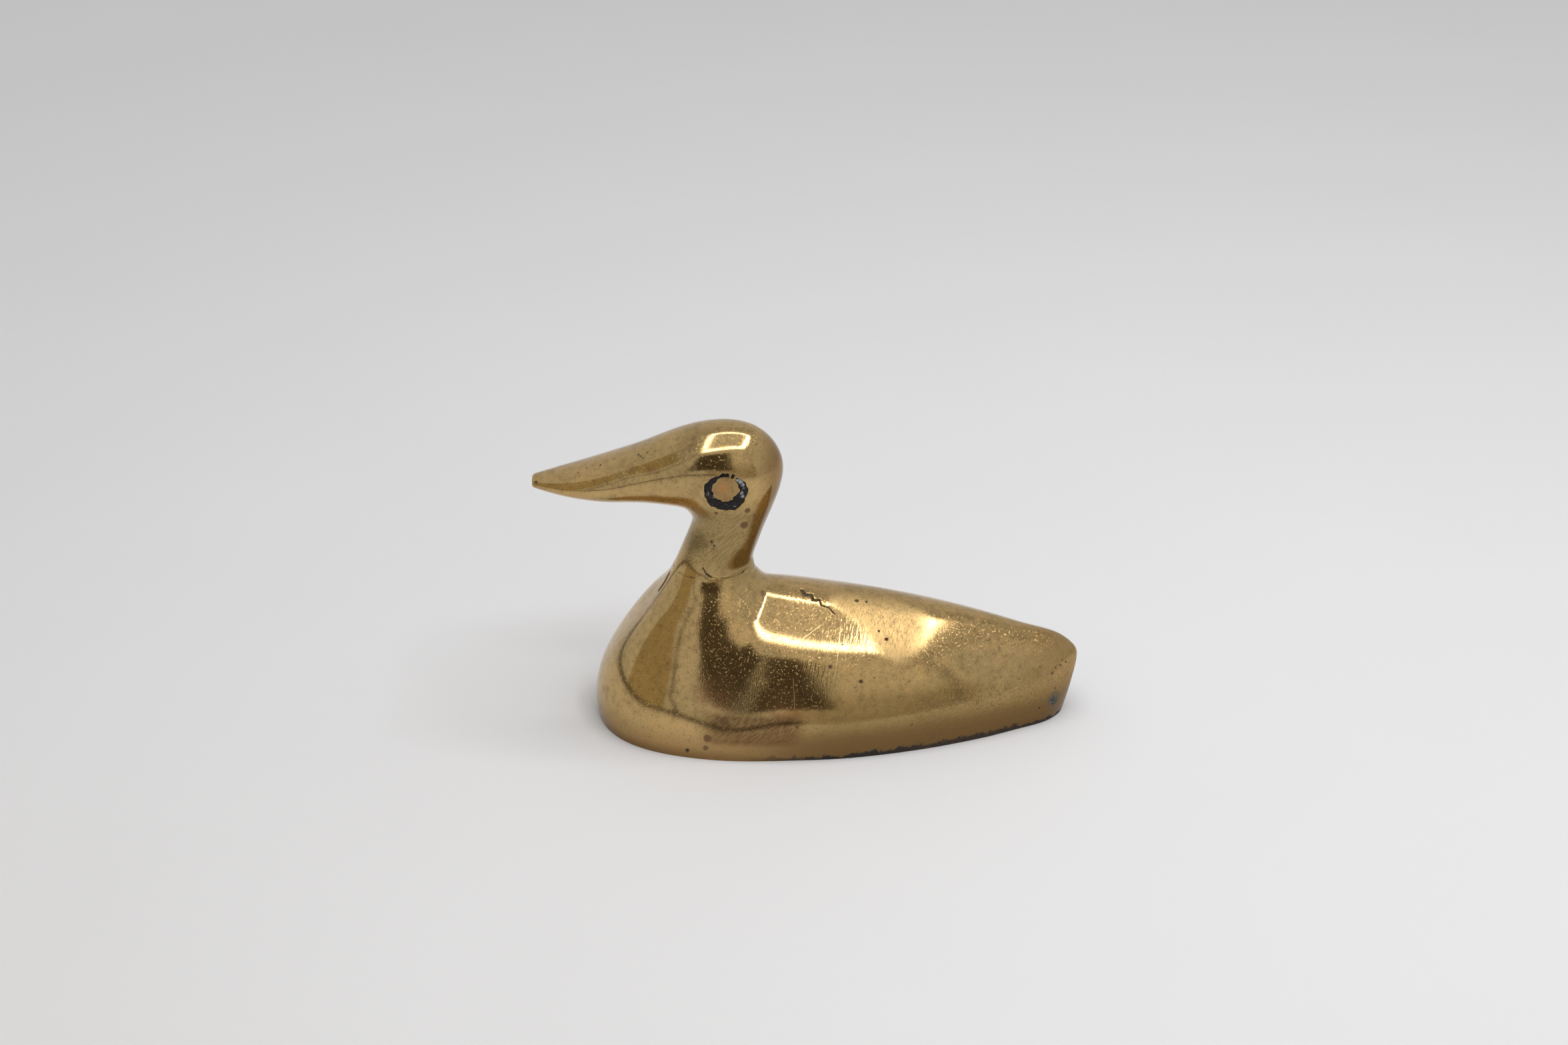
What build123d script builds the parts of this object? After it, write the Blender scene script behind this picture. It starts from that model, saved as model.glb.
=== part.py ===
"""Solid brass duck paperweight: two castings joined at the neck, with enamelled eye rings.

Millimetres, +Z up. The duck looks towards -X and its left side is -Y. The origin is on the
base plane, midway between the bill tip and the tail end. Lengths along the duck are measured
from the nape, the hollow at the back of the neck.
"""

import math
import os

from build123d import *

# Body
body_reach = 61.0  # nape to tail end
breast_reach = 28.6  # nape to the front of the breast
body_width = 40.7
nape_height = 31.6  # height of the nape above the base
nape_radius = 5.3  # hollow where the back turns up into the neck
back_start = 6.76  # nape to the start of the back's slope
back_drop = 5.14  # how far the back lies below the nape where its slope starts
back_swell = 1.5  # rise of the back over a straight line
widest_height = 3.24  # height of the widest part above the base
keel_depth = 14.1  # depth of the full oval below the base, before the base is cut flat
tail_height = 14.0
tail_width = 8.4
tail_end_width = 4.4  # the small flat at the very end
tail_end_height = 11.8
tail_end_keel = 3.0
tail_lean = 3.6  # how far the top of the tail end stands out past its lower end
tail_edge_radius = 1.0
taper_power = 1.78  # 1 tapers the body straight to the tail, more keeps its sides full for longer

# Neck
neck_height = 9.4  # nape to chin
neck_depth = 13.8  # front to back, at the thinnest
neck_width = 12.4
neck_lean = 2.6  # how far the back of the neck stands behind the nape, at its top
neck_tilt = 0.8  # the neck's ovals dip this much towards the throat

# Head and bill
head_height = 17.8  # chin to crown
head_length = 25.0  # back of the head to the root of the bill
head_width = 15.8
head_setback = 5.4  # how far the back of the head stands behind the nape
jaw_rise = 2.7  # chin to the underside of the bill's root
bill_length = 20.5
bill_root_width = 13.6
bill_root_height = 10.8
bill_root_tilt = 3.0  # the underside of the root lies this far ahead of its ridge
bill_tip_width = 3.8
bill_tip_height = 2.0
bill_tip_lift = 2.5  # rise of the underside from root to tip
bill_dip = 0.5  # hollow of the bill's ridge below a straight line
bill_edge_radius = 0.6

# Neck joint
joint_drop = 1.6  # depth of the joint below the nape
braze_thickness = 0.3
dowel_diameter = 5.0
dowel_body_depth = 9.0
dowel_head_depth = 7.0
dowel_clearance = 0.05

# Eyes
eye_setback = 10.2  # back of the head to the middle of the eye
eye_height = 7.6  # chin to the middle of the eye
eye_ring_width = 7.9
eye_ring_height = 7.2
eye_pupil_diameter = 4.9
eye_pupil_lift = 0.5  # the pupil sits above the middle of the ring
eye_floor_depth = 1.7  # floor of the groove below the widest point of the head

# Plugged blowhole at the tail
plug_diameter = 1.8
plug_length = 3.0
plug_setback = 4.6  # tail end to the middle of the plug
plug_height = 4.2
plug_turn = 28.0  # degrees that the plug's axis turns from square towards the tail

# Control shares of the one curve that makes half an oval
ROUND = 0.655  # reach of the handles at top and bottom for a true oval
RIDGED = 0.453  # a shorter handle at the top draws the back up into a soft ridge
FLANK = 0.464  # height share of the two control points beside the widest point

# The nape's place puts the origin midway between the bill tip and the tail end.
nape_x = (head_length + bill_length - head_setback - body_reach) / 2
tail_x = nape_x + body_reach
slope_length = body_reach - back_start
chin_z = nape_height + neck_height
head_back_x = nape_x + head_setback
bill_root_x = head_back_x - head_length
joint_z = nape_height - joint_drop
dowel_x = nape_x - neck_depth / 2


def back_half_width(share):
    """Half the body's width at a share of the way from the tail end to the shoulders."""
    fullness = 1 - (1 - share) ** taper_power
    return (tail_width + (body_width - tail_width) * fullness) / 2


def oval(top, bottom, half, widest=0.5, crown=ROUND):
    """One closed oval between a point on the upper profile and one on the lower profile.

    widest is the share of the way down where the oval has its half width."""
    length = math.hypot(top[0] - bottom[0], top[1] - bottom[1])
    up = ((top[0] - bottom[0]) / length, (top[1] - bottom[1]) / length)
    rise = widest * length
    drop = length - rise
    middle = (top[0] - rise * up[0], 0, top[1] - rise * up[1])
    across = Plane(origin=middle, x_dir=(0, 1, 0), z_dir=(up[1], 0, -up[0]))
    side = half * (32 - 5 * crown - 5 * ROUND) / 20
    sink = (0.6 + FLANK) / 2 * (rise - drop)
    with BuildSketch(across) as section:
        with BuildLine():
            Bezier(
                (0, rise),
                (half * crown, rise),
                (side, rise * FLANK - sink),
                (side, -drop * FLANK - sink),
                (half * ROUND, -drop),
                (0, -drop),
            )
            mirror(about=Plane.YZ)
        make_face()
    return section.sketch


def back_sections():
    """Ovals from the blunt tail end to the shoulders, under a long sloping back."""
    end_bottom = (tail_x - tail_lean, -tail_end_keel)
    yield oval((tail_x, tail_end_height), end_bottom, tail_end_width / 2)
    slope_top = nape_height - back_drop
    for share in (0.07, 0.16, 0.27, 0.4, 0.55, 0.7, 0.85, 1.0):
        x = tail_x - share * slope_length
        line = tail_height + share * (slope_top - tail_height)
        z = line + back_swell * math.sin(math.pi * share)
        keel = keel_depth * min(1.0, 0.3 + 1.6 * share)
        lean = tail_lean * (1 - share) ** 2
        crown = ROUND + (RIDGED - ROUND) * min(1.0, 4 * share)
        widest = (z - widest_height) / (z + keel)
        yield oval((x, z), (x - lean, -keel), back_half_width(share), widest, crown)


def breast_sections():
    """Ovals that fan round the nape, from the shoulders over the breast to the neck."""
    fan = (
        # place on the nape's arc in degrees, then the lower point as shares of the breast's
        # reach and the nape's height, the width share, the widest place and the crown
        (-56, 0.406, -0.365, 0.984, 0.657, 0.543),
        (-30.5, 0.959, -0.116, 0.808, 0.61, 0.564),
        (-17, 0.948, 0.395, 0.561, 0.566, 0.524),
        (-2.7, 0.69, 0.71, 0.41, 0.702, 0.727),
        (15, 0.523, 0.937, 0.294, 0.552, 0.68),
    )
    for degrees, reach, height, width, widest, crown in fan:
        turn = math.radians(degrees)
        x = nape_x + nape_radius * (1 - math.cos(turn))
        z = nape_height + nape_radius * math.sin(turn)
        bottom = (nape_x - reach * breast_reach, height * nape_height)
        yield oval((x, z), bottom, width * body_width / 2, widest, crown)


def neck_sections():
    """The slim part of the neck, which leans back as it rises."""
    for height, lean in ((0.47, 0.46), (0.88, 1.0)):
        x = nape_x + lean * neck_lean
        z = nape_height + height * neck_height
        yield oval((x, z), (x - neck_depth, z - neck_tilt), neck_width / 2)


def head_sections():
    """Ovals that fan round the chin, from the back of the head to the forehead."""
    fan = (
        # upper point as shares of the head's length and height, lower point as shares of
        # the head's length and the jaw's rise, then the width share
        (0.02, 0.287, 0.676, 0.0, 0.86),
        (0.0, 0.585, 0.708, 0.37, 0.96),
        (0.15, 0.9, 0.756, 0.6, 1.0),
        (0.448, 1.0, 0.848, 0.75, 0.99),
        (0.728, 0.916, 0.968, 0.9, 0.93),
    )
    for back, height, jaw_back, jaw_height, width in fan:
        top = (head_back_x - back * head_length, chin_z + height * head_height)
        bottom = (head_back_x - jaw_back * head_length, chin_z + jaw_height * jaw_rise)
        yield oval(top, bottom, width * head_width / 2)


def bill_sections():
    """Flat ovals along the bill, from its root to the small blunt tip."""
    root_bottom = chin_z + jaw_rise
    root_top = root_bottom + bill_root_height
    tip_top = root_bottom + bill_tip_lift + bill_tip_height
    for share in (0.0, 0.25, 0.5, 0.75, 1.0):
        x = bill_root_x - share * bill_length
        ridge = root_top + share * (tip_top - root_top) - bill_dip * math.sin(math.pi * share)
        under = root_bottom + bill_tip_lift * share**2
        width = bill_tip_width + (bill_root_width - bill_tip_width) * (1 - share**2.4)
        tilt = bill_root_tilt * (1 - share) ** 2
        yield oval((x, ridge), (x - tilt, under), width / 2)


# The whole form, smooth from tail to bill tip, with its base cut flat
with BuildPart() as form:
    loft([*back_sections(), *breast_sections(), *neck_sections(), *head_sections(), *bill_sections()])
    bill_end = form.faces().filter_by(GeomType.PLANE).sort_by(Axis.X)[0]
    fillet(bill_end.edges(), min(bill_edge_radius, bill_tip_height / 3))
    split(bisect_by=Plane.XY, keep=Keep.TOP)
    tail_end = form.faces().filter_by(GeomType.PLANE).sort_by(Axis.X)[-1]
    # its lowest edge lies on the base and stays sharp
    tail_rim = tail_end.edges().sort_by(Axis.Z)[1:]
    fillet(tail_rim, min(tail_edge_radius, tail_end_width / 4))

# Ring-shaped cutters for the grooves of the two eyes, the left one first
groove_floor = head_width / 2 - eye_floor_depth
eye_middle = (head_back_x - eye_setback, -groove_floor, chin_z + eye_height)
with BuildPart() as left_ring:
    with BuildSketch(Plane(origin=eye_middle, x_dir=(1, 0, 0), z_dir=(0, -1, 0))):
        Ellipse(eye_ring_width / 2, eye_ring_height / 2)
        with Locations((0, eye_pupil_lift)):
            Circle(eye_pupil_diameter / 2, mode=Mode.SUBTRACT)
    extrude(amount=2 * eye_floor_depth)
with BuildPart() as right_ring:
    add(left_ring.part.mirror(Plane.XZ))

# Cutter for the blowhole, square to the left flank beside the tail end
plug_half = back_half_width(plug_setback / slope_length)
plug_mouth = (tail_x - plug_setback, -plug_half, plug_height)
plug_turn_radians = math.radians(plug_turn)
plug_axis = (math.sin(plug_turn_radians), -math.cos(plug_turn_radians), 0)
with BuildPart() as blowhole:
    with BuildSketch(Plane(origin=plug_mouth, x_dir=(0, 0, 1), z_dir=plug_axis)):
        Circle(plug_diameter / 2)
    extrude(amount=plug_diameter)
    with BuildSketch(Plane(origin=plug_mouth, x_dir=(0, 0, 1), z_dir=plug_axis)):
        Circle(plug_diameter / 2)
    extrude(amount=-plug_length)

# Body casting, up to the joint, with the dowel's lower hole
dowel_hole_radius = dowel_diameter / 2 + dowel_clearance
with BuildPart() as body_casting:
    add(form.part)
    split(bisect_by=Plane.XY.offset(joint_z), keep=Keep.BOTTOM)
    with Locations((dowel_x, 0, joint_z)):
        Hole(dowel_hole_radius, depth=dowel_body_depth)
    add(blowhole.part, mode=Mode.SUBTRACT)

# Head casting, from the filler upwards, with the dowel's upper hole and the eye grooves
filler_top = joint_z + braze_thickness
with BuildPart() as head_casting:
    add(form.part)
    split(bisect_by=Plane.XY.offset(filler_top), keep=Keep.TOP)
    with Locations(Location((dowel_x, 0, filler_top), (180, 0, 0))):
        Hole(dowel_hole_radius, depth=dowel_head_depth)
    add(left_ring.part, mode=Mode.SUBTRACT)
    add(right_ring.part, mode=Mode.SUBTRACT)

# Brazing filler, a thin washer between the castings, trimmed to the neck's own outline
with BuildPart() as neck_braze:
    with BuildSketch(Plane.XY.offset(joint_z)):
        with Locations((dowel_x, 0)):
            Circle(neck_depth + neck_width)
            Circle(dowel_hole_radius, mode=Mode.SUBTRACT)
    extrude(amount=braze_thickness)
    add(form.part, mode=Mode.INTERSECT)

# Dowel that lines up the castings, standing on the floor of its lower hole
dowel_length = dowel_body_depth + braze_thickness + dowel_head_depth - dowel_clearance
with BuildPart() as neck_dowel:
    with BuildSketch(Plane.XY.offset(joint_z - dowel_body_depth)):
        with Locations((dowel_x, 0)):
            Circle(dowel_diameter / 2)
    extrude(amount=dowel_length)

# Enamel that fills each eye's groove flush with the head
with BuildPart() as left_eye_enamel:
    add(left_ring.part)
    add(form.part, mode=Mode.INTERSECT)
with BuildPart() as right_eye_enamel:
    add(right_ring.part)
    add(form.part, mode=Mode.INTERSECT)

# Soft-solder plug, dressed flush with the flank
with BuildPart() as tail_plug:
    add(blowhole.part)
    add(form.part, mode=Mode.INTERSECT)

pieces = {
    "body_casting": body_casting,
    "head_casting": head_casting,
    "neck_braze": neck_braze,
    "neck_dowel": neck_dowel,
    "left_eye_enamel": left_eye_enamel,
    "right_eye_enamel": right_eye_enamel,
    "tail_plug": tail_plug,
}
os.makedirs("parts", exist_ok=True)
for name, piece in pieces.items():
    piece.part.label = name
    export_step(piece.part, f"parts/{name}.step")
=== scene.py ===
"""Looks for the brass duck paperweight: dense skins over the solids, worn finishes and a light tent.

Metres, in the frame of the solids. The duck looks towards -X and its left side, -Y, faces the camera.
Shapes are worked out in millimetres and scaled when a mesh is made.
"""

import math

import bmesh
import bpy
import numpy as np
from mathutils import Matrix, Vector, noise
from mathutils.bvhtree import BVHTree


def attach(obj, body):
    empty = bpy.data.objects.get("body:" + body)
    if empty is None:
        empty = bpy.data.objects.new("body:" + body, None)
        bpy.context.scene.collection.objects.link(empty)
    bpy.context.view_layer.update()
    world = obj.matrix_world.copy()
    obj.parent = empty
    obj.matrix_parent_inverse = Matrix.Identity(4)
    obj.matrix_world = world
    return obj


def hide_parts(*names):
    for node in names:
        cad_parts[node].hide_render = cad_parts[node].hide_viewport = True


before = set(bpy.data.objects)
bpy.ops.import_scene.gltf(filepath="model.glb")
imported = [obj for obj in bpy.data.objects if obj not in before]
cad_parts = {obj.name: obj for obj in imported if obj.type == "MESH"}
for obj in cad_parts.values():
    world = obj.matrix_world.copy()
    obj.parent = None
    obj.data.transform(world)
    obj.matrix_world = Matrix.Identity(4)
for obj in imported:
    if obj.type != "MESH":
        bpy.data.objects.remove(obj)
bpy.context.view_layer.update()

MM = 0.001

# Sizes of the duck in millimetres, the same as in the solids
body_reach = 61.0
breast_reach = 28.6
body_width = 40.7
taper_power = 1.78
nape_height = 31.6
nape_radius = 5.3
back_start = 6.76
back_drop = 5.14
back_swell = 1.5
widest_height = 3.24
keel_depth = 14.1
tail_height = 14.0
tail_width = 8.4
tail_end_width = 4.4
tail_end_height = 11.8
tail_end_keel = 3.0
tail_lean = 3.6
neck_height = 9.4
neck_depth = 13.8
neck_width = 12.4
neck_lean = 2.6
neck_tilt = 0.8
head_height = 17.8
head_length = 25.0
head_width = 15.8
head_setback = 5.4
jaw_rise = 2.7
bill_length = 20.5
bill_root_width = 13.6
bill_root_height = 10.8
bill_root_tilt = 3.0
bill_tip_width = 3.8
bill_tip_height = 2.0
bill_tip_lift = 2.5
bill_dip = 0.5
joint_drop = 1.6
braze_thickness = 0.3
dowel_diameter = 5.0
dowel_body_depth = 9.0
dowel_head_depth = 7.0
dowel_clearance = 0.05
eye_setback = 10.2
eye_height = 7.6
eye_ring_width = 7.9
eye_ring_height = 7.2
eye_pupil_diameter = 4.9
eye_pupil_lift = 0.5
plug_diameter = 1.8
plug_setback = 4.6
plug_height = 4.2
plug_turn = 28.0

ROUND = 0.655
RIDGED = 0.453
FLANK = 0.464

nape_x = (head_length + bill_length - head_setback - body_reach) / 2
tail_x = nape_x + body_reach
slope_length = body_reach - back_start
chin_z = nape_height + neck_height
head_back_x = nape_x + head_setback
bill_root_x = head_back_x - head_length
joint_z = nape_height - joint_drop
filler_top = joint_z + braze_thickness
dowel_x = nape_x - neck_depth / 2
dowel_hole_radius = dowel_diameter / 2 + dowel_clearance
eye_x = head_back_x - eye_setback
eye_z = chin_z + eye_height

# Ovals of the whole form, from the tail end to the bill tip


def oval(top, bottom, half, widest=0.5, crown=ROUND):
    """Six control points of the half oval between an upper and a lower point of the profile."""
    top = np.array([top[0], 0.0, top[1]])
    bottom = np.array([bottom[0], 0.0, bottom[1]])
    length = np.linalg.norm(top - bottom)
    up = (top - bottom) / length
    out = np.array([0.0, 1.0, 0.0])
    rise = widest * length
    drop = length - rise
    middle = top - rise * up
    # These two let the curve reach its half width at the middle, and no further
    side = half * (32 - 5 * crown - 5 * ROUND) / 20
    sink = (0.6 + FLANK) / 2 * (rise - drop)
    flat = (
        (0, rise),
        (half * crown, rise),
        (side, rise * FLANK - sink),
        (side, -drop * FLANK - sink),
        (half * ROUND, -drop),
        (0, -drop),
    )
    return np.array([middle + u * out + v * up for u, v in flat])


def back_half_width(share):
    fullness = 1 - (1 - share) ** taper_power
    return (tail_width + (body_width - tail_width) * fullness) / 2


def back_ovals():
    end_bottom = (tail_x - tail_lean, -tail_end_keel)
    yield oval((tail_x, tail_end_height), end_bottom, tail_end_width / 2)
    slope_top = nape_height - back_drop
    for share in (0.07, 0.16, 0.27, 0.4, 0.55, 0.7, 0.85, 1.0):
        x = tail_x - share * slope_length
        line = tail_height + share * (slope_top - tail_height)
        z = line + back_swell * math.sin(math.pi * share)
        keel = keel_depth * min(1.0, 0.3 + 1.6 * share)
        lean = tail_lean * (1 - share) ** 2
        crown = ROUND + (RIDGED - ROUND) * min(1.0, 4 * share)
        widest = (z - widest_height) / (z + keel)
        yield oval((x, z), (x - lean, -keel), back_half_width(share), widest, crown)


def breast_ovals():
    fan = (
        (-56, 0.406, -0.365, 0.984, 0.657, 0.543),
        (-30.5, 0.959, -0.116, 0.808, 0.61, 0.564),
        (-17, 0.948, 0.395, 0.561, 0.566, 0.524),
        (-2.7, 0.69, 0.71, 0.41, 0.702, 0.727),
        (15, 0.523, 0.937, 0.294, 0.552, 0.68),
    )
    for degrees, reach, height, width, widest, crown in fan:
        turn = math.radians(degrees)
        top = (nape_x + nape_radius * (1 - math.cos(turn)), nape_height + nape_radius * math.sin(turn))
        bottom = (nape_x - reach * breast_reach, height * nape_height)
        yield oval(top, bottom, width * body_width / 2, widest, crown)


def neck_ovals():
    for height, lean in ((0.47, 0.46), (0.88, 1.0)):
        x = nape_x + lean * neck_lean
        z = nape_height + height * neck_height
        yield oval((x, z), (x - neck_depth, z - neck_tilt), neck_width / 2)


def head_ovals():
    fan = (
        (0.02, 0.287, 0.676, 0.0, 0.86),
        (0.0, 0.585, 0.708, 0.37, 0.96),
        (0.15, 0.9, 0.756, 0.6, 1.0),
        (0.448, 1.0, 0.848, 0.75, 0.99),
        (0.728, 0.916, 0.968, 0.9, 0.93),
    )
    for back, height, jaw_back, jaw_height, width in fan:
        top = (head_back_x - back * head_length, chin_z + height * head_height)
        bottom = (head_back_x - jaw_back * head_length, chin_z + jaw_height * jaw_rise)
        yield oval(top, bottom, width * head_width / 2)


def bill_ovals():
    root_bottom = chin_z + jaw_rise
    root_top = root_bottom + bill_root_height
    tip_top = root_bottom + bill_tip_lift + bill_tip_height
    for share in (0.0, 0.25, 0.5, 0.75, 1.0):
        x = bill_root_x - share * bill_length
        ridge = root_top + share * (tip_top - root_top) - bill_dip * math.sin(math.pi * share)
        under = root_bottom + bill_tip_lift * share**2
        width = bill_tip_width + (bill_root_width - bill_tip_width) * (1 - share**2.4)
        tilt = bill_root_tilt * (1 - share) ** 2
        yield oval((x, ridge), (x - tilt, under), width / 2)


# The smooth skin through those ovals, and how finely it is made
curve_steps = 300
travel_steps = 3000
ring_gap = 0.36
flank_columns = 108
base_columns = 40
# The base edge lies no further round a ring than this share of it
base_edge_share = 0.87
# Columns beside the base edge, in millimetres from it, on rings at least as long as a full one
edge_gaps = np.array([0.5, 0.32, 0.18, 0.08])
full_ring = 20.0
base_edge_ease = 0.45


def bezier_weights(t):
    """Weights of the six control points at each t."""
    counts = (1, 5, 10, 10, 5, 1)
    return np.stack([c * t**k * (1 - t) ** (5 - k) for k, c in enumerate(counts)], -1)


def through(knots, values, at):
    """Natural cubic spline through values at the knots, read at other places."""
    n = len(knots)
    h = np.diff(knots)
    matrix = np.eye(n)
    right = np.zeros_like(values)
    for i in range(1, n - 1):
        matrix[i, i - 1 : i + 2] = (h[i - 1], 2 * (h[i - 1] + h[i]), h[i])
        right[i] = 6 * ((values[i + 1] - values[i]) / h[i] - (values[i] - values[i - 1]) / h[i - 1])
    bend = np.linalg.solve(matrix, right.reshape(n, -1)).reshape(values.shape)
    i = np.clip(np.searchsorted(knots, at, side="right") - 1, 0, n - 2)
    shape = (-1,) + (1,) * (values.ndim - 1)
    step = h[i].reshape(shape)
    a = ((knots[i + 1] - at) / h[i]).reshape(shape)
    b = 1 - a
    curve = ((a**3 - a) * bend[i] + (b**3 - b) * bend[i + 1]) * step**2 / 6
    return a * values[i] + b * values[i + 1] + curve


def skin_rings():
    """Half rings of the skin, tail first, each running from the back's ridge to the keel line.

    The base edge falls on one column, and the keel below it is pressed flat to make the base."""
    ovals = np.array([*back_ovals(), *breast_ovals(), *neck_ovals(), *head_ovals(), *bill_ovals()])
    t_fine = np.linspace(0, 1, curve_steps)
    fine = bezier_weights(t_fine)
    gaps = np.linalg.norm(np.diff(fine @ ovals, axis=0), axis=2).mean(1)
    knots = np.concatenate([[0.0], np.cumsum(gaps)])
    u = np.linspace(0, knots[-1], travel_steps)
    spread = np.linalg.norm(np.diff(fine[::10] @ through(knots, ovals, u), axis=0), axis=2).max(1)
    travel = np.concatenate([[0.0], np.cumsum(spread)])
    count = int(travel[-1] / ring_gap)
    u = np.interp(np.linspace(0, travel[-1], count), travel, u)
    controls = through(knots, ovals, u)
    rings = []
    for control in controls:
        points = fine @ control
        run = np.concatenate([[0.0], np.cumsum(np.linalg.norm(np.diff(points, axis=0), axis=1))])
        below = np.nonzero(points[:, 2] < 0)[0]
        edge = run[-1]
        if len(below):
            i = below[0]
            share = points[i - 1, 2] / (points[i - 1, 2] - points[i, 2])
            edge = run[i - 1] + share * (run[i] - run[i - 1])
        edge = min(edge, base_edge_share * run[-1])
        near = edge_gaps * min(1.0, run[-1] / full_ring)
        before = np.linspace(0, edge - near[0] * 1.5, flank_columns)
        after = np.linspace(edge + near[0] * 1.5, run[-1], base_columns)
        places = np.concatenate([before, edge - near, [edge], edge + near[::-1], after])
        t = np.interp(places, run, t_fine)
        rings.append(bezier_weights(t) @ control)
    rings = np.array(rings)
    soft = base_edge_ease
    z = rings[..., 2]
    rings[..., 2] = np.where(np.abs(z) < soft, (z + soft) ** 2 / (4 * soft), np.maximum(z, 0))
    return rings


def close_end(rings, steps, rounding, reverse):
    """Rings that close one end of the skin on its middle, with the corner eased."""
    if reverse:
        rings = rings[::-1]
    last = rings[-1]
    middle = np.array([last[:, 0].mean(), 0.0, (last[:, 2].min() + last[:, 2].max()) / 2])
    shares = np.linspace(1, 0, steps + 1)[1:]
    cap = middle + (last - middle) * shares[:, None, None]
    tall = np.concatenate([rings, cap])
    start = len(rings) - 1
    for _ in range(rounding):
        low = max(1, start - 2 * rounding)
        high = min(len(tall) - 1, start + steps)
        inner = tall[low:high]
        tall[low:high] = inner + 0.25 * (tall[low - 1 : high - 1] + tall[low + 1 : high + 1] - 2 * inner)
    return tall[::-1] if reverse else tall


def whole_form():
    """Points and faces of the closed skin of the whole duck, in millimetres."""
    rings = skin_rings()
    rings = close_end(rings, steps=12, rounding=24, reverse=True)
    rings = close_end(rings, steps=6, rounding=3, reverse=False)
    left = rings * np.array([1.0, -1.0, 1.0])
    full = np.concatenate([left, rings[:, -2:0:-1]], axis=1)
    count, around = full.shape[:2]
    points = full.reshape(-1, 3)
    i = np.arange(count - 1)[:, None]
    j = np.arange(around)[None, :]
    k = (j + 1) % around
    faces = np.stack([i * around + j, (i + 1) * around + j, (i + 1) * around + k, i * around + k], -1)
    return points, faces.reshape(-1, 4)


form_points, form_faces = whole_form()
form_tree = BVHTree.FromPolygons(form_points.tolist(), form_faces.tolist())


def on_skin(start, direction):
    """The point where a line from outside first meets the smooth skin."""
    return np.array(form_tree.ray_cast(Vector(start), Vector(direction))[0])


# Distances from which the skin is looked for, in millimetres
beside = 60.0
away = 90.0


def on_left(x, z):
    return on_skin((x, -beside, z), (0, 1, 0))


def on_top(x, y):
    return on_skin((x, y, away), (0, 0, -1))


def on_front(y, z):
    return on_skin((-away, y, z), (1, 0, 0))


# Marks of casting and age that have a depth of their own: a path on the skin, half its width and
# its depth
breast_void = [on_front(y, z) for y, z in ((-1.4, 25.5), (-1.2, 26.4), (-0.8, 27.5), (-0.5, 28.3))]
crack_front = ((-1.5, -2.4), (-0.9, -3.4), (0.2, -3.3), (0.6, -4.3))
crack_rear = ((1.7, -4.2), (2.1, -5.3), (3.4, -5.5), (4.5, -6.6))
shoulder_crack = [on_top(x, y) for x, y in crack_front + crack_rear]
arc_front = ((-19.6, 32.2), (-18.9, 31.0), (-18.2, 30.5), (-17.1, 30.1))
arc_rear = ((-15.2, 30.05), (-13.2, 30.1), (-12.1, 30.5))
neck_crack = [on_left(x, z) for x, z in arc_front + arc_rear]
marks = [
    (breast_void, 0.5, 0.45),
    (shoulder_crack, 0.13, 0.3),
    (shoulder_crack[:3], 0.42, 0.4),
    (shoulder_crack[2:5], 0.28, 0.4),
    (neck_crack, 0.13, 0.16),
    (neck_crack[1:3], 0.22, 0.25),
]
# Depths of the pits as shares of their half widths
pit_depth = 0.7
fine_pit_depth = 0.6
# Single pits seen in the photograph: x, y on the back, then x, z on the left side, with half width
for x, y, half in (
    (8.6, -3.1, 0.36),
    (10.4, -3.05, 0.26),
    (12.6, -8.4, 0.2),
    (13.95, -9.45, 0.3),
    (-35.5, -1.6, 0.22),
    (-38.0, -2.2, 0.26),
    (-40.5, -1.8, 0.2),
    (-42.0, -2.6, 0.18),
    (-12.0, -1.2, 0.2),
    (-31.0, -2.8, 0.26),
    (-30.6, -3.3, 0.2),
    (-29.4, -3.0, 0.2),
):
    marks.append(([on_top(x, y)], half, half * pit_depth))
for x, z, half in (
    (-22.5, 1.5, 0.34),
    (45.0, 9.9, 0.26),
    (46.6, 10.9, 0.22),
    (47.7, 11.1, 0.18),
    (42.7, 11.4, 0.2),
    (45.7, 10.7, 0.18),
    (46.9, 11.7, 0.17),
    (42.7, 3.7, 0.2),
    (45.7, 6.8, 0.17),
    (9.2, 13.9, 0.22),
    (3.6, 16.45, 0.2),
    (-18.0, 37.6, 0.24),
    (-17.5, 36.9, 0.2),
    (-30.2, 53.6, 0.2),
    (-49.8, 47.75, 0.36),
):
    marks.append(([on_left(x, z)], half, half * pit_depth))
# Small pits on the right side, which the photograph doesn't show, and a very few fine ones on the left
seeded = np.random.default_rng(7)
for side, count, low_half, high_half in ((1, 34, 0.14, 0.34), (-1, 12, 0.1, 0.15)):
    for _ in range(count):
        x, z = seeded.uniform(-44, 47), seeded.uniform(2, 56)
        found = form_tree.ray_cast(Vector((x, beside * side, z)), Vector((0, -side, 0)))[0]
        if found:
            half = seeded.uniform(low_half, high_half)
            marks.append(([np.array(found)], half, half * fine_pit_depth))


def away_from(points, path):
    """Distance of each point from a path of one or more points."""
    if len(path) == 1:
        return np.linalg.norm(points - path[0], axis=1)
    best = np.full(len(points), 1e9)
    for a, b in zip(path, path[1:]):
        run = b - a
        share = np.clip((points - a) @ run / (run @ run), 0, 1)
        best = np.minimum(best, np.linalg.norm(points - a - share[:, None] * run, axis=1))
    return best


def rough(points, size, seed=0.0):
    """Smooth noise from -1 to 1 at each point, with waves of about the given size."""
    shift = np.array([seed * 17.3, seed * -9.1, seed * 5.7])
    return np.array([noise.noise(Vector(p)) for p in points / size + shift])


def step(value):
    value = np.clip(value, 0, 1)
    return value * value * (3 - 2 * value)


# The eye's groove, whose outline wanders as a hand-cut one does


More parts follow.
